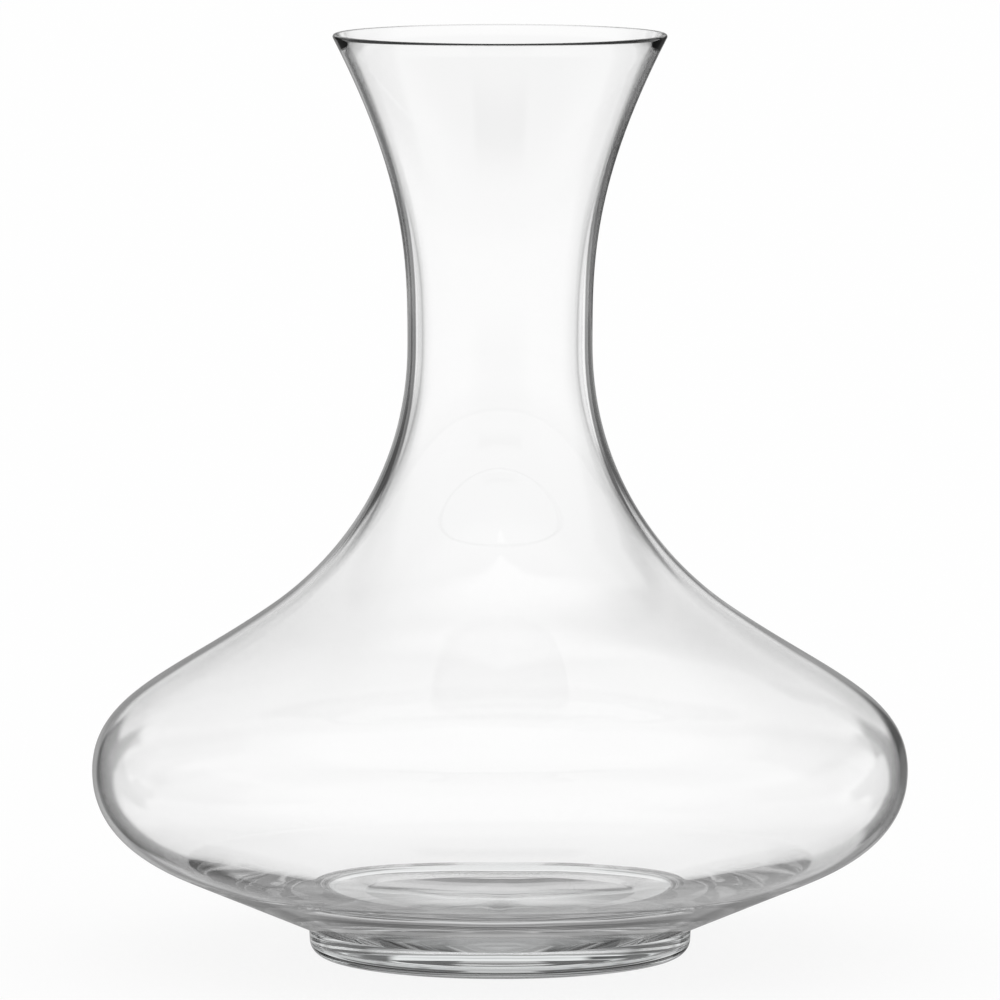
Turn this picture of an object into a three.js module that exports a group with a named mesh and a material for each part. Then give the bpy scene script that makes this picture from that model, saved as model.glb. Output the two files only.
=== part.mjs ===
// Wine decanter in clear blown glass: a wide, low-bellied bowl that draws up into a flared neck, welded
// onto a heavy solid foot. Millimetres, +Z up, origin at the middle of the surface that it stands on.
// Both pieces are round about Z, so each is an outline of (radius, height) points turned once about Z.

import * as THREE from 'three';

// ---- Outside of the bowl: the stations that its outline passes through ----

const HEIGHT = 230; // from the table to the top of the lip
const MOUTH_RADIUS = 41.5; // widest point of the lip
const MOUTH_FLARE = 27.2; // lean of the wall at the lip, in degrees from upright

const WAIST_RADIUS = 23; // narrowest part of the neck, where the hand holds it
const WAIST_HEIGHT = 152.7;

const SHOULDER_RADIUS = 57.6; // where the wall turns from hollow to full
const SHOULDER_HEIGHT = 86.9;
const SHOULDER_SLOPE = 55.2; // in degrees from upright

const BELLY_RADIUS = 101.7; // widest part of the decanter
const BELLY_HEIGHT = 46.4;

const HEEL_TURN = 22.2; // how far inside the belly the wall has turned under and runs straight
const UNDERSIDE_SLOPE = 23.1; // of the straight underside, in degrees from level

// How far the outline holds its direction as it leaves and nears a station, as a share of the chord.
const NECK_HOLD = [0.52, 0.25];
const THROAT_HOLD = [0.43, 0.28];
const SHOULDER_HOLD = [0.52, 0.3];
const HEEL_HOLD = [0.48, 0.22];

// ---- Glass thickness ----

const LIP_WALL = 1.3;
const NECK_WALL = 2.5; // at the waist
const SHOULDER_WALL = 2;
const BELLY_WALL = 1.8; // at the widest point
const HEEL_WALL = 1.7; // where the straight underside begins
const FLOOR_WALL = 2.2; // in the middle of the bowl, over the foot
// The inner floor is a shallow dish, so the glass is thickest over the rim of the foot. Its two shares say
// how softly it leaves the sloping wall and levels out in the middle, from 0 (at once) to 1.
const FLOOR_LEAVE = 0.1;
const FLOOR_LEVEL = 0.18;

// ---- Foot ----

const FOOT_HEIGHT = 6.95;
const FOOT_RADIUS = 47.7; // at the top, where the underside of the bowl runs into it
const FOOT_DRAFT = 3; // the side leans in by this towards the table, in degrees
const FOOT_ROUND = 4; // radius of the lower edge
const STANDING_WIDTH = 7.5; // of the level ring that touches the table
const KICK_DEPTH = 1.6; // of the shallow hollow inside that ring

const WELD_GAP = 0.3; // clearance that stands for the weld between bowl and foot

// ---- Fineness of the solids ----

const SIDES = 56; // flats round the axis
const NECK_STEPS = 7;
const THROAT_STEPS = 7;
const SHOULDER_STEPS = 9;
const HEEL_STEPS = 6;
const FLOOR_STEPS = 7;
const BEAD_STEPS = 2; // in each quarter
const ROUND_STEPS = 5;
const KICK_STEPS = 5;

const rad = THREE.MathUtils.degToRad;
const point = (r, z) => new THREE.Vector2(r, z);
const step = (from, direction, length) => from.clone().addScaledVector(direction, length);

// ---- The bowl's outline ----

const beadRadius = LIP_WALL / 2;
const beadCentre = point(MOUTH_RADIUS - beadRadius, HEIGHT - beadRadius);
const lipOutward = point(Math.cos(rad(MOUTH_FLARE)), -Math.sin(rad(MOUTH_FLARE)));
const bowlBase = FOOT_HEIGHT + WELD_GAP;
const heelRadius = BELLY_RADIUS - HEEL_TURN;
const heelRise = (heelRadius - FOOT_RADIUS) * Math.tan(rad(UNDERSIDE_SLOPE));

// Each station has its place, the direction that the outline runs in there, going down, and the wall.
const down = point(0, -1);
const lip = {
  at: step(beadCentre, lipOutward, beadRadius),
  runs: point(-Math.sin(rad(MOUTH_FLARE)), -Math.cos(rad(MOUTH_FLARE))),
  wall: LIP_WALL,
};
const waist = { at: point(WAIST_RADIUS, WAIST_HEIGHT), runs: down, wall: NECK_WALL };
const shoulder = {
  at: point(SHOULDER_RADIUS, SHOULDER_HEIGHT),
  runs: point(Math.sin(rad(SHOULDER_SLOPE)), -Math.cos(rad(SHOULDER_SLOPE))),
  wall: SHOULDER_WALL,
};
const belly = { at: point(BELLY_RADIUS, BELLY_HEIGHT), runs: down, wall: BELLY_WALL };
const heel = {
  at: point(heelRadius, bowlBase + heelRise),
  runs: point(-Math.cos(rad(UNDERSIDE_SLOPE)), -Math.sin(rad(UNDERSIDE_SLOPE))),
  wall: HEEL_WALL,
};

// The outline from one station to the next, with the same stretch of the inner wall. The inner wall lies
// inside the outer by the glass thickness, which eases from one station's value to the other's.
function stretch(from, to, [leaving, arriving], steps) {
  const chord = from.at.distanceTo(to.at);
  const curve = new THREE.CubicBezierCurve(
    from.at,
    step(from.at, from.runs, chord * leaving),
    step(to.at, to.runs, -chord * arriving),
    to.at,
  );
  const outer = curve.getPoints(steps);
  const inner = outer.map((place, i) => {
    const runs = curve.getTangent(i / steps);
    const inward = point(runs.y, -runs.x);
    const wall = THREE.MathUtils.lerp(from.wall, to.wall, THREE.MathUtils.smoothstep(i / steps, 0, 1));
    return step(place, inward, wall);
  });
  return { outer, inner };
}

// A circular arc round a centre, from one angle to another, both in degrees from outward.
function arc(centre, radius, from, to, steps) {
  return Array.from({ length: steps + 1 }, (_, i) => {
    const angle = rad(THREE.MathUtils.lerp(from, to, i / steps));
    return step(centre, point(Math.cos(angle), Math.sin(angle)), radius);
  });
}

// The inner floor: from the inner wall above the heel down to the level glass in the middle of the bowl.
function floorCurve(start) {
  const middle = point(0, bowlBase + FLOOR_WALL);
  const reach = (start.y - middle.y) / Math.tan(rad(UNDERSIDE_SLOPE));
  const corner = point(start.x - reach, middle.y);
  const curve = new THREE.CubicBezierCurve(
    start,
    start.clone().lerp(corner, FLOOR_LEAVE),
    middle.clone().lerp(corner, FLOOR_LEVEL),
    middle,
  );
  return curve.getPoints(FLOOR_STEPS);
}

// Joins runs of points into one outline, leaving out a point that repeats the one before it.
function outline(...runs) {
  const points = runs.flat();
  const closeness = 1e-6;
  return points.filter((place, i) => i === 0 || place.distanceTo(points[i - 1]) > closeness);
}

function bowlOutline() {
  const stretches = [
    stretch(lip, waist, NECK_HOLD, NECK_STEPS),
    stretch(waist, shoulder, THROAT_HOLD, THROAT_STEPS),
    stretch(shoulder, belly, SHOULDER_HOLD, SHOULDER_STEPS),
    stretch(belly, heel, HEEL_HOLD, HEEL_STEPS),
  ];
  const outside = stretches.flatMap((part) => part.outer).reverse();
  const inside = stretches.flatMap((part) => part.inner);
  const bead = [
    ...arc(beadCentre, beadRadius, -MOUTH_FLARE, 0, 1),
    ...arc(beadCentre, beadRadius, 0, 90, BEAD_STEPS),
    ...arc(beadCentre, beadRadius, 90, 180 - MOUTH_FLARE, BEAD_STEPS),
  ];
  return outline(
    [point(0, bowlBase), point(FOOT_RADIUS, bowlBase)],
    outside,
    bead,
    inside,
    floorCurve(inside.at(-1)),
  );
}

// ---- The foot's outline ----

function footOutline() {
  const sideFoot = FOOT_RADIUS - (FOOT_HEIGHT - FOOT_ROUND) * Math.tan(rad(FOOT_DRAFT));
  const roundCentre = point(sideFoot - FOOT_ROUND, FOOT_ROUND);
  const kickRadius = roundCentre.x - STANDING_WIDTH;
  // A shallow cap of a sphere that is KICK_DEPTH deep in the middle.
  const sphere = (kickRadius ** 2 + KICK_DEPTH ** 2) / (2 * KICK_DEPTH);
  const spread = THREE.MathUtils.radToDeg(Math.asin(kickRadius / sphere));
  return outline(
    arc(point(0, KICK_DEPTH - sphere), sphere, 90, 90 - spread, KICK_STEPS),
    arc(roundCentre, FOOT_ROUND, -90, 0, ROUND_STEPS),
    [point(FOOT_RADIUS, FOOT_HEIGHT), point(0, FOOT_HEIGHT)],
  );
}

// ---- Pieces ----

const clearGlass = (name, color, roughness) =>
  new THREE.MeshStandardMaterial({ name, color, roughness, metalness: 0, transparent: true, opacity: 0.35 });

// Turns an outline about the axis. The lathe turns about Y, so the result is stood up along Z.
function turned(name, points, material) {
  const geometry = new THREE.LatheGeometry(points, SIDES);
  geometry.rotateX(Math.PI / 2);
  const mesh = new THREE.Mesh(geometry, material);
  mesh.name = name;
  return mesh;
}

const decanter = new THREE.Group();
decanter.name = 'wine_decanter';
decanter.add(turned('bowl', bowlOutline(), clearGlass('blown glass', '#eef3f2', 0.02)));
decanter.add(turned('foot', footOutline(), clearGlass('pressed glass', '#e4ecea', 0.03)));

export default decanter;
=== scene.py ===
# %% [markdown]
# # A wine decanter in clear glass
#
# A decanter of this kind is one continuous piece of glass, made in two steps.
# The bowl is blown into a mould, drawn up into a neck and flared at the mouth.
# The foot is a thick pressed disc that is joined to the bowl while both are hot.
#
# Clear glass has hardly any colour of its own. What the eye reads is how it
# bends and mirrors the room, so the shapes of the walls and the light around
# them matter more than the colour of the material. The lesson goes in that
# order: camera, outlines, turning the outlines into glass, materials, light.
#
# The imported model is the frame: every size below is in metres in that frame.

# %% Load the frame
import math

import bpy
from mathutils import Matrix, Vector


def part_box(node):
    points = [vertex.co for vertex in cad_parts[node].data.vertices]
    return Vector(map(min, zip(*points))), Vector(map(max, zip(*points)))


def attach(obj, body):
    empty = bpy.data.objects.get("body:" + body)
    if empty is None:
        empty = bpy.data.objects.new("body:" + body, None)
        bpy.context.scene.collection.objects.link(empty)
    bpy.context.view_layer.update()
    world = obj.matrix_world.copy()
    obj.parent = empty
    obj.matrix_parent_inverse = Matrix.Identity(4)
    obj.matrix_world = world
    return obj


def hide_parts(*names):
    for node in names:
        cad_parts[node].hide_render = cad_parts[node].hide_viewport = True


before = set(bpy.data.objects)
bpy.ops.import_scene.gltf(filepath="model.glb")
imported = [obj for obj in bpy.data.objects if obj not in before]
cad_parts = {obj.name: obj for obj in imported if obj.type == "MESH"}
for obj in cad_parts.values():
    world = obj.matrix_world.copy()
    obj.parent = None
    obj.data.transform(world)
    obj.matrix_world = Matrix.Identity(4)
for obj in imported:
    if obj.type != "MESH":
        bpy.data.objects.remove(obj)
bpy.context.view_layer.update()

# %% [markdown]
# ## Camera
#
# Glassware is usually shown from far away with a long lens. The ellipses of the
# mouth and the foot then stay slim and the outline keeps its true proportions.
# The camera stands over two and a half metres off and looks down by about six
# degrees.

# %% Camera
CAMERA_DISTANCE = 2.639     # from the axis, along -Y
CAMERA_HEIGHT = 0.3881
CAMERA_TILT = 0.10354       # radians below the horizon
LENS, SENSOR = 383.84, 36   # both in mm

lens = bpy.data.cameras.new("camera")
lens.sensor_width = SENSOR
lens.lens = LENS
lens.clip_start, lens.clip_end = 0.1, 100
camera = bpy.data.objects.new("camera", lens)
camera.location = (0, -CAMERA_DISTANCE, CAMERA_HEIGHT)
camera.rotation_euler = (math.pi / 2 - CAMERA_TILT, 0, 0)
scene = bpy.context.scene
scene.collection.objects.link(camera)
scene.camera = camera
print("camera looks down by", round(math.degrees(CAMERA_TILT), 1), "degrees")

# %% [markdown]
# ## Stations of the outline
#
# A blown bowl has no corners: its outline runs through a few heights where it
# turns. Here they are the lip, the narrow waist of the neck, the shoulder, the
# widest line of the belly and the heel, where the belly meets a straight
# underside. A smooth curve between each two of them gives the whole shape.
# Height, belly and foot are read from the frame, so that they can't drift.

# %% Stations
MM = 0.001
low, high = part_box("bowl")
foot_low, foot_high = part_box("foot")
HEIGHT = high[2]
BELLY_RADIUS = high[0]
FOOT_RADIUS = foot_high[0]
WELD = (foot_high[2] + low[2]) / 2   # the two glasses meet in this plane
WELD_GAP = 0.00002                   # and stay this far apart, too little to see
BOWL_BASE, FOOT_TOP = WELD + WELD_GAP / 2, WELD - WELD_GAP / 2

MOUTH_RADIUS, MOUTH_FLARE = 41.5 * MM, math.radians(27.2)
WAIST_RADIUS, WAIST_HEIGHT = 23.0 * MM, 152.7 * MM
SHOULDER_RADIUS, SHOULDER_HEIGHT = 57.6 * MM, 86.9 * MM
SHOULDER_SLOPE = math.radians(55.2)  # from upright
BELLY_HEIGHT = 46.4 * MM
HEEL_RADIUS = BELLY_RADIUS - 22.2 * MM
UNDERSIDE_SLOPE = math.radians(23.1)  # from level
LIP_WALL, NECK_WALL, SHOULDER_WALL = 1.3 * MM, 2.5 * MM, 2.0 * MM
BELLY_WALL, HEEL_WALL, FLOOR_WALL = 1.8 * MM, 1.7 * MM, 2.2 * MM
print("height", round(HEIGHT, 4), "belly", round(BELLY_RADIUS, 4), "weld", round(WELD, 5))

# %% Curves between stations
def mix(a, b, share):
    return a + (b - a) * share


def bezier(p0, p1, p2, p3, steps):
    """Points of a cubic curve, each with the direction in which it runs there."""
    rows = []
    for i in range(steps + 1):
        t = i / steps
        u = 1 - t
        point = [u**3 * a + 3*u*u*t * b + 3*u*t*t * c + t**3 * d
                 for a, b, c, d in zip(p0, p1, p2, p3)]
        run = [u*u * (b - a) + 2*u*t * (c - b) + t*t * (d - c)
               for a, b, c, d in zip(p0, p1, p2, p3)]
        rows.append((point, run))
    return rows


def arc(centre, radius, start, end, steps):
    """Points of an arc, from one angle to another in degrees."""
    turns = [math.radians(mix(start, end, i / steps)) for i in range(steps + 1)]
    return [(centre[0] + radius * math.cos(a), centre[1] + radius * math.sin(a)) for a in turns]


# %% [markdown]
# ## Outline of the bowl
#
# The mould shapes the outer skin, so that is drawn first. The inner skin is
# free and lies one wall thickness inside it: thick at the neck, where the glass
# is drawn, thinnest at the belly, where the bubble stretched most, and thick
# again towards the floor, where the gather settled. The lip is fire-polished,
# so it ends in a small round bead.

# %% Outline of the bowl
bead = LIP_WALL / 2
bead_centre = (MOUTH_RADIUS - bead, HEIGHT - bead)
lip = (bead_centre[0] + bead * math.cos(MOUTH_FLARE),
       bead_centre[1] - bead * math.sin(MOUTH_FLARE))
# Each station has its place, the direction in which the outline runs there, and its wall.
stations = [
    (lip, (-math.sin(MOUTH_FLARE), -math.cos(MOUTH_FLARE)), LIP_WALL),
    ((WAIST_RADIUS, WAIST_HEIGHT), (0, -1), NECK_WALL),
    ((SHOULDER_RADIUS, SHOULDER_HEIGHT),
     (math.sin(SHOULDER_SLOPE), -math.cos(SHOULDER_SLOPE)), SHOULDER_WALL),
    ((BELLY_RADIUS, BELLY_HEIGHT), (0, -1), BELLY_WALL),
    ((HEEL_RADIUS, BOWL_BASE + (HEEL_RADIUS - FOOT_RADIUS) * math.tan(UNDERSIDE_SLOPE)),
     (-math.cos(UNDERSIDE_SLOPE), -math.sin(UNDERSIDE_SLOPE)), HEEL_WALL),
]
# How far each curve holds its direction at its two ends, as a share of the chord.
PULL = [(0.52, 0.25), (0.43, 0.28), (0.52, 0.30), (0.48, 0.22)]
STEPS = [30, 30, 40, 34]
FLOOR_STEPS, BEAD_STEPS = 90, 12
FLOOR_LEAVE, FLOOR_LEVEL = 0.10, 0.18   # how softly the floor leaves the wall and levels out

outer, inner = [], []
for (p, run_p, wall_p), (q, run_q, wall_q), (leave, arrive), steps in zip(
        stations, stations[1:], PULL, STEPS):
    chord = math.dist(p, q)
    handles = ((p[0] + run_p[0] * chord * leave, p[1] + run_p[1] * chord * leave),
               (q[0] - run_q[0] * chord * arrive, q[1] - run_q[1] * chord * arrive))
    for i, (point, run) in enumerate(bezier(p, *handles, q, steps)):
        if outer and i == 0:
            continue
        t = i / steps
        wall = mix(wall_p, wall_q, t * t * (3 - 2 * t))
        size = math.hypot(*run)
        outer.append(tuple(point))
        inner.append((point[0] + run[1] / size * wall, point[1] - run[0] / size * wall))

heel, middle = inner[-1], (0.0, BOWL_BASE + FLOOR_WALL)
corner = (heel[0] - (heel[1] - middle[1]) / math.tan(UNDERSIDE_SLOPE), middle[1])
floor_line = [tuple(p) for p, run in bezier(
    heel, [mix(h, c, FLOOR_LEAVE) for h, c in zip(heel, corner)],
    [mix(m, c, FLOOR_LEVEL) for m, c in zip(middle, corner)], middle, FLOOR_STEPS)]
flare = math.degrees(MOUTH_FLARE)
rim = arc(bead_centre, bead, -flare, 180 - flare, BEAD_STEPS)
bowl_outline = ([(0.0, BOWL_BASE), (FOOT_RADIUS, BOWL_BASE)]
                + outer[::-1] + rim[1:-1] + inner + floor_line[1:])
inner_starts = 2 + len(outer) + len(rim) - 2
print("bowl outline:", len(bowl_outline), "points, inner skin from", inner_starts)

# %% [markdown]
# ## Outline of the foot
#
# The foot comes out of a press mould, so its side has a slight draft and its
# lower corner is round. It stands on a narrow ring: the middle is a shallow
# hollow, the kick, which keeps the decanter from rocking on a table.

# %% Outline of the foot
FOOT_DRAFT = math.radians(3)
FOOT_ROUND = 4.0 * MM
STANDING_WIDTH = 7.5 * MM
KICK_DEPTH = 1.6 * MM
KICK_STEPS, ROUND_STEPS = 40, 24
side = FOOT_RADIUS - (foot_high[2] - FOOT_ROUND) * math.tan(FOOT_DRAFT)
round_centre = (side - FOOT_ROUND, FOOT_ROUND)
kick_radius = round_centre[0] - STANDING_WIDTH
kick_sphere = (kick_radius**2 + KICK_DEPTH**2) / (2 * KICK_DEPTH)
kick_edge = math.degrees(math.acos(kick_radius / kick_sphere))
foot_outline = (arc((0, KICK_DEPTH - kick_sphere), kick_sphere, 90, kick_edge, KICK_STEPS)
                + arc(round_centre, FOOT_ROUND, -90, 0, ROUND_STEPS)
                + [(FOOT_RADIUS, FOOT_TOP), (0.0, FOOT_TOP)])
foot_outline[0] = (0.0, KICK_DEPTH)
print("foot outline:", len(foot_outline), "points, kick radius", round(kick_radius, 4))

# %% [markdown]
# ## Turning an outline into glass
#
# Spinning a line round an axis is a rule, so Geometry Nodes can do it. The tree
# lays out a grid with one column for each side and one row for each point of
# the outline. Each grid point looks up its outline point, and is then swung
# round the axis by its column's angle. Merging by distance closes the seam and
# the poles, so that each glass is one closed skin.
#
# The free inner skin is never quite even, and its slow ripples are what make
# reflections in a blown neck wander. The tree adds them with a noise of fixed
# seed, only where the outline says how much.

# %% Node helpers
def add(tree, kind, settings=None, inputs=None):
    """Adds a node, with its settings, and its inputs as values or as sockets to link."""
    node = tree.nodes.new(kind)
    for name, value in (settings or {}).items():
        setattr(node, name, value)
    for key, value in (inputs or {}).items():
        socket = node.inputs[key]
        if isinstance(value, bpy.types.NodeSocket):
            tree.links.new(value, socket)
        else:
            socket.default_value = value
    return node


def calc(tree, operation, *values):
    """One Math node, as its output socket."""
    node = add(tree, "ShaderNodeMath", {"operation": operation}, dict(enumerate(values)))
    return node.outputs[0]


# %% The lathe tree
SIDES = 192
CLOSE = 2e-6                # points nearer than this become one, in metres
CREASE = math.radians(20)   # a sharper edge than this stays crisp
RIPPLE_SEED = 7.3


def lathe_tree():
    tree = bpy.data.node_groups.new("lathe", "GeometryNodeTree")
    sockets = {}
    for name, kind, value in (
            ("Outline", "NodeSocketGeometry", None), ("Sides", "NodeSocketInt", SIDES),
            ("Ripple height", "NodeSocketFloat", 0.0), ("Ripple length", "NodeSocketFloat", 0.03),
            ("Weld height", "NodeSocketFloat", 0.0), ("Glass", "NodeSocketMaterial", None),
            ("Weld", "NodeSocketMaterial", None)):
        socket = tree.interface.new_socket(name, in_out="INPUT", socket_type=kind)
        if value is not None:
            socket.default_value = value
        sockets[name] = socket.identifier
    tree.interface.new_socket("Glass body", in_out="OUTPUT", socket_type="NodeSocketGeometry")
    given = add(tree, "NodeGroupInput").outputs

    count = add(tree, "GeometryNodeAttributeDomainSize", {"component": "MESH"},
                {"Geometry": given["Outline"]}).outputs["Point Count"]
    columns = calc(tree, "ADD", given["Sides"], 1)
    grid = add(tree, "GeometryNodeMeshGrid", None, {"Vertices X": columns, "Vertices Y": count})
    index = add(tree, "GeometryNodeInputIndex").outputs[0]
    row = calc(tree, "FLOORED_MODULO", index, count)
    column = calc(tree, "FLOOR", calc(tree, "DIVIDE", calc(tree, "ADD", index, 0.5), count))
    turn = calc(tree, "MULTIPLY", calc(tree, "DIVIDE", column, given["Sides"]), 2 * math.pi)

    def outline_value(kind, field):
        return add(tree, "GeometryNodeSampleIndex", {"data_type": kind, "domain": "POINT"},
                   {"Geometry": given["Outline"], "Value": field, "Index": row}).outputs[0]

    def share_of_ripple():
        return add(tree, "GeometryNodeInputNamedAttribute", {"data_type": "FLOAT"},
                   {"Name": "ripple"}).outputs[0]

    place = add(tree, "GeometryNodeInputPosition").outputs[0]
    where = add(tree, "ShaderNodeSeparateXYZ", None,
                {0: outline_value("FLOAT_VECTOR", place)}).outputs
    ripple = outline_value("FLOAT", share_of_ripple())
    spun = add(tree, "ShaderNodeCombineXYZ", None, {
        "X": calc(tree, "MULTIPLY", where["X"], calc(tree, "COSINE", turn)),
        "Y": calc(tree, "MULTIPLY", where["X"], calc(tree, "SINE", turn)), "Z": where["Z"]})
    body = add(tree, "GeometryNodeSetPosition", None,
               {"Geometry": grid.outputs["Mesh"], "Position": spun.outputs[0]})
    kept = add(tree, "GeometryNodeStoreNamedAttribute", {"data_type": "FLOAT", "domain": "POINT"},
               {"Geometry": body.outputs[0], "Name": "ripple", "Value": ripple})
    closed = add(tree, "GeometryNodeMergeByDistance", None,
                 {"Geometry": kept.outputs[0], "Distance": CLOSE})

    scale = calc(tree, "DIVIDE", 1.0, given["Ripple length"])
    noise = add(tree, "ShaderNodeTexNoise", {"noise_dimensions": "4D"},
                {"W": RIPPLE_SEED, "Scale": scale, "Detail": 1.0, "Roughness": 0.4})
    swing = calc(tree, "MULTIPLY", calc(tree, "SUBTRACT", noise.outputs[0], 0.5), 2.0)  # -1 to 1
    rise = calc(tree, "MULTIPLY", swing,
                calc(tree, "MULTIPLY", given["Ripple height"], share_of_ripple()))
    along = add(tree, "ShaderNodeVectorMath", {"operation": "SCALE"},
                {0: add(tree, "GeometryNodeInputNormal").outputs[0], "Scale": rise})
    rippled = add(tree, "GeometryNodeSetPosition", None,
                  {"Geometry": closed.outputs[0], "Offset": along.outputs[0]})

    smooth = add(tree, "GeometryNodeSetShadeSmooth", {"domain": "FACE"},
                 {"Geometry": rippled.outputs[0]})
    edge_angle = add(tree, "GeometryNodeInputMeshEdgeAngle").outputs[0]
    crisp = add(tree, "GeometryNodeSetShadeSmooth", {"domain": "EDGE"},
                {"Geometry": smooth.outputs[0], "Shade Smooth": False,
                 "Selection": calc(tree, "GREATER_THAN", edge_angle, CREASE)})
    height = add(tree, "ShaderNodeSeparateXYZ", None,
                 {0: add(tree, "GeometryNodeInputPosition").outputs[0]}).outputs["Z"]
    on_weld = calc(tree, "COMPARE", height, given["Weld height"], WELD_GAP)
    whole = add(tree, "GeometryNodeRealizeInstances", None, {"Geometry": crisp.outputs[0]})
    glass = add(tree, "GeometryNodeSetMaterial", None,
                {"Geometry": whole.outputs[0], "Material": given["Glass"]})
    welded = add(tree, "GeometryNodeSetMaterial", None,
                 {"Geometry": glass.outputs[0], "Selection": on_weld, "Material": given["Weld"]})
    add(tree, "NodeGroupOutput", None, {0: welded.outputs[0]})
    return tree, sockets


lathe, lathe_inputs = lathe_tree()
print("lathe tree:", len(lathe.nodes), "nodes, inputs", list(lathe_inputs))

# %% [markdown]
# ## Glass, as a material
#
# Both parts are clear lead-free crystal: no metal, no diffuse colour, light goes
# through and bends by an index of about 1.52. The bowl is fire-polished, so it
# is perfectly smooth, and only slow waves from drawing and turning the hot
# neck remain. The pressed foot was pushed into a mould: it is a little wavier,
# and a trace of iron in its thick glass gives it a hint of blue-green.
#
# Inside the weld there is no surface at all on the real object. The two bodies
# touch there, and their weld faces get glass of index 1, which light crosses
# as if nothing were there.

# %% Colour and glass
def linear(hex_colour):
    """An sRGB colour such as 'E8F0EE' as the linear values that shaders work in."""
    parts = [int(hex_colour[i:i + 2], 16) / 255 for i in (0, 2, 4)]
    return (*(c / 12.92 if c <= 0.04045 else ((c + 0.055) / 1.055) ** 2.4 for c in parts), 1.0)


CRYSTAL_INDEX = 1.52


def clear_glass(name, colour, wave_length, wave_height, stretch):
    """Fire-polished or pressed crystal: a smooth skin with slow waves of a real size."""
    material = bpy.data.materials.new(name)
    material.use_nodes = True
    tree = material.node_tree
    shader = tree.nodes["Principled BSDF"]
    shader.inputs["Base Color"].default_value = linear(colour)
    shader.inputs["Roughness"].default_value = 0.0
    shader.inputs["IOR"].default_value = CRYSTAL_INDEX
    shader.inputs["Transmission Weight"].default_value = 1.0
    place = add(tree, "ShaderNodeTexCoord").outputs["Object"]
    drawn = add(tree, "ShaderNodeMapping", None, {"Vector": place, "Scale": (1, 1, stretch)})
    waves = add(tree, "ShaderNodeTexNoise", None,
                {"Vector": drawn.outputs[0], "Scale": 1 / wave_length, "Detail": 1.0})
    bump = add(tree, "ShaderNodeBump", None,
               {"Height": waves.outputs[0], "Distance": wave_height, "Strength": 1.0})
    tree.links.new(bump.outputs[0], shader.inputs["Normal"])
    return material


# Blown and fire-polished: mirror-smooth, with long waves drawn out along the neck.
blown_crystal = clear_glass("fire_polished_crystal", "FFFFFF", 18 * MM, 0.03 * MM, 0.35)
# Pressed: the mould leaves shorter waves, and the thick glass shows a cool hint.
pressed_crystal = clear_glass("pressed_crystal", "FBFEFE", 9 * MM, 0.02 * MM, 1.0)
# The weld: continuous glass on both sides, so light passes straight through.
weld_glass = bpy.data.materials.new("weld_inside_glass")
weld_glass.use_nodes = True
weld_shader = weld_glass.node_tree.nodes["Principled BSDF"]
for name, value in (("Base Color", linear("FFFFFF")), ("Roughness", 0.0), ("IOR", 1.0),
                    ("Transmission Weight", 1.0)):
    weld_shader.inputs[name].default_value = value
print("materials:", [m.name for m in (blown_crystal, pressed_crystal, weld_glass)])

# %% [markdown]
# ## The two bodies
#
# Each outline is drawn as a line of points in the XZ plane, the lathe turns it,
# and the evaluated result is kept as a plain mesh. The line and the modifier are
# thrown away, so that nothing live is left on the piece.

# %% Turn the outlines
RIPPLE_HEIGHT, RIPPLE_LENGTH = 0.06 * MM, 26 * MM
LIP_FADE = 20 * MM   # the ripples grow over this much below the lip


def turned_body(name, outline, ripples, glass, ripple_height):
    line = bpy.data.meshes.new(name + "_outline")
    links = [(i, i + 1) for i in range(len(outline) - 1)]
    line.from_pydata([(r, 0, z) for r, z in outline], links, [])
    line.attributes.new("ripple", "FLOAT", "POINT").data.foreach_set("value", ripples)
    maker = bpy.data.objects.new(name + "_maker", line)
    scene.collection.objects.link(maker)
    lathe_step = maker.modifiers.new("lathe", "NODES")
    lathe_step.node_group = lathe
    for key, value in (("Sides", SIDES), ("Ripple height", ripple_height),
                       ("Ripple length", RIPPLE_LENGTH), ("Weld height", WELD),
                       ("Glass", glass), ("Weld", weld_glass)):
        lathe_step[lathe_inputs[key]] = value
    ready = maker.evaluated_get(bpy.context.evaluated_depsgraph_get())
    mesh = bpy.data.meshes.new_from_object(ready)
    mesh.name = name
    # The grid leaves an empty first slot, so every slot moves down by one.
    slots = [face.material_index - 1 for face in mesh.polygons]
    mesh.materials.clear()
    for material in (glass, weld_glass):
        mesh.materials.append(material)
    mesh.polygons.foreach_set("material_index", slots)
    bpy.data.objects.remove(maker)
    bpy.data.meshes.remove(line)
    body = bpy.data.objects.new(name, mesh)
    scene.collection.objects.link(body)
    faces_at = {}   # how many faces meet at each edge, which is two on a closed skin
    for face in mesh.polygons:
        for edge in face.edge_keys:
            faces_at[edge] = faces_at.get(edge, 0) + 1
    print(name, len(mesh.polygons), "faces,", sum(slots), "of them on the weld,",
          sum(n != 2 for n in faces_at.values()), "open edges")
    return body


# Ripples sit on the inner skin of the bowl only, and die out towards the lip.
bowl_ripples = [min(1.0, (HEIGHT - height) / LIP_FADE) if i >= inner_starts else 0.0
                for i, (radius, height) in enumerate(bowl_outline)]
foot_ripples = [0.0] * len(foot_outline)
bowl_glass = turned_body("bowl_glass", bowl_outline, bowl_ripples, blown_crystal, RIPPLE_HEIGHT)
foot_glass = turned_body("foot_glass", foot_outline, foot_ripples, pressed_crystal, 0.0)

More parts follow.
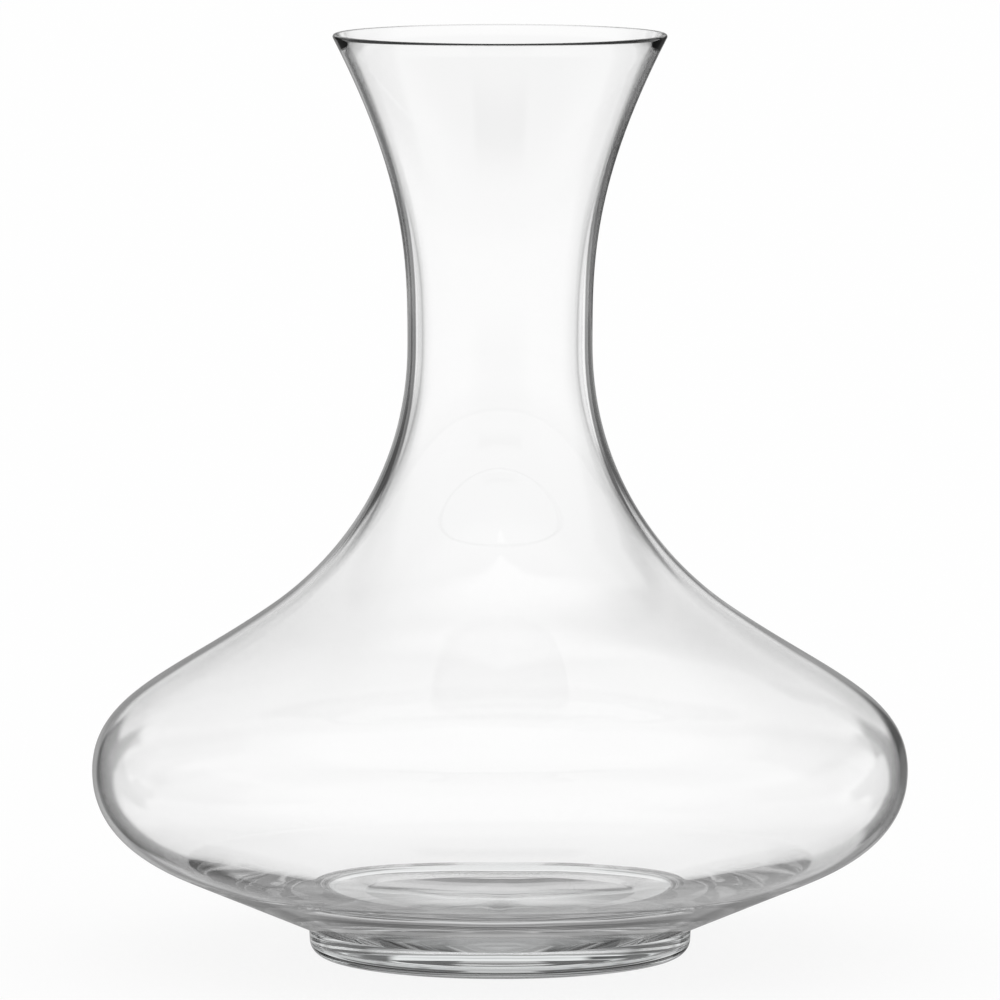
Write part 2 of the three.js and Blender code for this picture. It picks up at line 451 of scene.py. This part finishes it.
# %% [markdown]
# ## The room that the glass sees
#
# Glass shows best in front of a narrow white ground, in a room with soft
# boxes and black cards. Light that passes straight through shows the white
# ground. Light that is mirrored inside a wall comes from the side, from above
# or from the table, and the black cards there draw the dark lines along the
# neck and round the foot. Without them, clear glass on white almost disappears.
#
# The room is a world shader. The camera and the matt floor see plain white, and
# the rays that left the glass see panels, by what happened to them on the way:
#
# - rays that only passed through see the white ground and its edges;
# - rays that were mirrored once see the soft boxes, the table and the cards;
# - rays that were mirrored again and again went a long way through thick glass,
#   which takes light from them, and see the darker corners of the same room.
#
# Each panel is laid over the ones before it. It is given by its heading and
# its height in degrees, as seen from the object. The table stays pale for rays
# that pass straight through, so that the glass is as clear from above as it is
# from the side.

# %% Panels of the room
# heading (0 = behind the object, 90 = right), half width, lowest, highest, level, edge
GROUND_CARDS = [
    (0, 180, -90, -27, 0.85, 3),    # the table, a little in the object's own shade
    (20, 8, -48, -20, 0.3, 2),      # and its two dark corners at the back
    (-20, 8, -48, -20, 0.4, 2),
    (0, 180, 1, 90, 0.5, 3),        # above the white ground
    (15, 5.5, -16, 1, 0.8, 4),      # the white ground falls off towards its sides
    (-18, 7, -16, 1, 0.8, 4),
    (0, 1.5, -5.3, 1, 0.96, 0.8),   # and a little towards its top
]
ROOM = 0.85
SOFT_BOXES = [
    (0, 180, 28, 58, 0.72, 8),      # the upper walls of the room
    (0, 180, 58, 90, 0.95, 6),      # the big overhead box
    (8, 30, 45, 90, 1.0, 8),        # and its front edge, nearest the white ground
    (0, 180, -90, -24, 0.62, 5),    # the table
    (-4, 18, -90, -53, 1.0, 9),     # lit brightest right under the object
    (52, 16, -12, 9, 1.0, 3),       # a tall box on the right
    (-50, 10, -24, 2, 0.9, 4),      # and a smaller one on the left
]
DARK_CARDS = [
    (-57, 13, 2, 48, 0.47, 5),      # gaps between the boxes
    (60, 20, 16, 46, 0.4, 5),
    (180, 28, -52, -41, 0.2, 4),
    (0, 26, -24, 7, 0.35, 2),       # the edge of the table, behind the object
    (-29, 10, -42, 11, 0.06, 2),    # black cards beside the white ground
    (-36, 5, 0, 20, 0.12, 2),
    (18, 8, -18, 5, 0.08, 2),
    (31, 6, -12, 19, 0.12, 2),
    (39, 4, 8, 22, 0.25, 2),
    (0, 11, -38, -25, 0.5, 3),      # shade on the table behind the object
    (-14, 9, -50, -29, 0.36, 6),
    (0, 8, -50, -40, 0.3, 4),
    (31, 8, -24, -10, 0.04, 2),     # the foot of the black card on the right
]
CORNERS = 0.5
CORNER_CARDS = [
    (0, 180, 60, 90, 0.4, 3),       # the overhead box, from far below
    (0, 180, 45, 60, 0.3, 4),
    (0, 180, 20, 45, 0.2, 4),
    (0, 180, -90, -40, 0.4, 4),     # the table, in stripes of light and shade
    (0, 180, -40, -28, 0.5, 2),
    (0, 180, -28, -17, 0.08, 1.5),
    (0, 180, -17, -8, 0.7, 1.5),
    (0, 180, -8, -2, 0.4, 1),
    (0, 180, -2, 5, 0.1, 1.5),      # black all round above the horizon
    (0, 180, 5, 45, 0.06, 2),
    (0, 9, 5, 12, 0.4, 1.5),        # and the white ground in the middle of it
    (0, 9, 17, 27, 0.15, 1.5),
    (0, 9, 27, 36, 0.5, 1.5),
    (0, 9, 36, 48, 0.6, 1.5),
    (0, 20, 48, 60, 0.15, 2),
]
# Narrow gaps in the white ground, at eye level only: one pair to every GAP_SPACING degrees.
GAP_SPACING, GAP_HEADING, GAP_HALF, GAP_LEVEL = 45.0, 16.5, 1.0, 0.5
GAP_LOW, GAP_HIGH, GAP_EDGE = -13, 10, 2.0
FULL_TURN, HALF_TURN = 360.0, 180.0


def within(tree, value, low, high, edge):
    """1 between two angles and 0 outside them, with edges that fade over so many degrees."""
    rise = add(tree, "ShaderNodeMapRange", {"interpolation_type": "SMOOTHSTEP"}, {
        "Value": value, "From Min": low - edge, "From Max": low + edge}).outputs[0]
    fall = add(tree, "ShaderNodeMapRange", {"interpolation_type": "SMOOTHSTEP"}, {
        "Value": value, "From Min": high - edge, "From Max": high + edge,
        "To Min": 1.0, "To Max": 0.0}).outputs[0]
    return calc(tree, "MULTIPLY", rise, fall)


def around(tree, heading, centre):
    """How many degrees a heading is away from a centre, either way round."""
    turned = calc(tree, "ADD", heading, FULL_TURN + HALF_TURN - centre)
    past_centre = calc(tree, "SUBTRACT", calc(tree, "MODULO", turned, FULL_TURN), HALF_TURN)
    return calc(tree, "ABSOLUTE", past_centre)


# %% The world
world = bpy.data.worlds.new("studio")
scene.world = world
world.use_nodes = True
room = world.node_tree
room.nodes.clear()
direction = add(room, "ShaderNodeSeparateXYZ", None,
                {0: add(room, "ShaderNodeTexCoord").outputs["Generated"]}).outputs
DEGREE = math.radians(1)
heading = calc(room, "DIVIDE", calc(room, "ARCTAN2", direction["X"], direction["Y"]), DEGREE)
elevation = calc(room, "DIVIDE", calc(room, "ARCSINE", direction["Z"]), DEGREE)


def blend(share, first, second):
    """The first level where the share is 0, the second where it is 1."""
    return add(room, "ShaderNodeMix", {"data_type": "FLOAT"},
               {0: share, 2: first, 3: second}).outputs[0]


def panels_over(start, panels):
    """Lays panels over a level, each one over those before it."""
    level = start
    for centre, half, lowest, highest, panel_level, edge in panels:
        bottom = lowest - (2 * edge if lowest <= -90 else 0)   # no fading at the poles
        top = highest + (2 * edge if highest >= 90 else 0)
        seen = within(room, elevation, bottom, top, edge)
        if half < HALF_TURN:
            seen = calc(room, "MULTIPLY", seen,
                        within(room, around(room, heading, centre), -2 * edge, half, edge))
        level = blend(seen, level, panel_level)
    return level


once = panels_over(ROOM, SOFT_BOXES + DARK_CARDS)
again = panels_over(CORNERS, CORNER_CARDS)
passed = panels_over(1.0, GROUND_CARDS)
folded = calc(room, "PINGPONG", calc(room, "ADD", heading, FULL_TURN), GAP_SPACING / 2)
gap = calc(room, "MULTIPLY", within(room, elevation, GAP_LOW, GAP_HIGH, GAP_EDGE),
           within(room, folded, GAP_HEADING - GAP_HALF, GAP_HEADING + GAP_HALF, GAP_EDGE))
passed = calc(room, "MULTIPLY", passed, blend(gap, 1.0, GAP_LEVEL))

path = add(room, "ShaderNodeLightPath").outputs
was_mirrored = calc(room, "GREATER_THAN", path["Glossy Depth"], 0.5)
more_than_once = calc(room, "GREATER_THAN", path["Glossy Depth"], 1.5)
glass_sees = blend(was_mirrored, passed, blend(more_than_once, once, again))
plain = calc(room, "MAXIMUM", path["Is Camera Ray"], path["Is Diffuse Ray"])
strength = blend(plain, glass_sees, 1.0)
white = add(room, "ShaderNodeBackground", None, {"Color": (1, 1, 1, 1), "Strength": strength})
add(room, "ShaderNodeOutputWorld", None, {"Surface": white.outputs[0]})
print("world:", len(GROUND_CARDS + SOFT_BOXES + DARK_CARDS + CORNER_CARDS), "panels,",
      len(room.nodes), "nodes")

# %% [markdown]
# ## The floor
#
# The decanter stands on a white sheet. For the camera the sheet is part matt
# white, which takes the object's soft shadow, and part lit from below, which
# keeps the shadow as faint as it is on a light table. Mirrored and bent rays
# pass through the sheet to the room, which continues below the horizon, so the
# white ground has no visible edge inside the glass.

# %% The floor
SHEET = 8.0         # half its width, in metres
SHEET_GLOW = 0.88   # how much of its white comes from below
corners = [(-SHEET, -SHEET, 0), (SHEET, -SHEET, 0), (SHEET, SHEET, 0), (-SHEET, SHEET, 0)]
sheet_mesh = bpy.data.meshes.new("floor")
sheet_mesh.from_pydata(corners, [], [(0, 1, 2, 3)])
floor = bpy.data.objects.new("floor", sheet_mesh)
scene.collection.objects.link(floor)
paper = bpy.data.materials.new("white_light_table")
paper.use_nodes = True
tree = paper.node_tree
tree.nodes.clear()
matt = add(tree, "ShaderNodeBsdfDiffuse", None, {"Color": linear("FFFFFF")}).outputs[0]
glow = add(tree, "ShaderNodeEmission", None, {"Strength": 1.0}).outputs[0]
lit = add(tree, "ShaderNodeMixShader", None, {0: SHEET_GLOW, 1: matt, 2: glow}).outputs[0]
path = add(tree, "ShaderNodeLightPath").outputs
through = calc(tree, "MAXIMUM", path["Is Glossy Ray"], path["Is Transmission Ray"])
clear = add(tree, "ShaderNodeBsdfTransparent").outputs[0]
sheet = add(tree, "ShaderNodeMixShader", None, {0: through, 1: lit, 2: clear}).outputs[0]
add(tree, "ShaderNodeOutputMaterial", None, {"Surface": sheet})
sheet_mesh.materials.append(paper)

# %% [markdown]
# ## Light paths and the object's body
#
# Light takes many turns inside a thick foot, so paths may be long. Each body
# then takes the place of its hidden CAD solid and rides on the object's one body.

# %% Light paths and frame
LIGHT_TURNS = 32
scene.view_settings.view_transform = "Standard"
for limit in ("max_bounces", "transmission_bounces", "glossy_bounces"):
    setattr(scene.cycles, limit, LIGHT_TURNS)

for piece, node, slot in ((bowl_glass, "bowl", "blown_glass"), (foot_glass, "foot", "foot_glass")):
    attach(piece, "root")
    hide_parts(node)
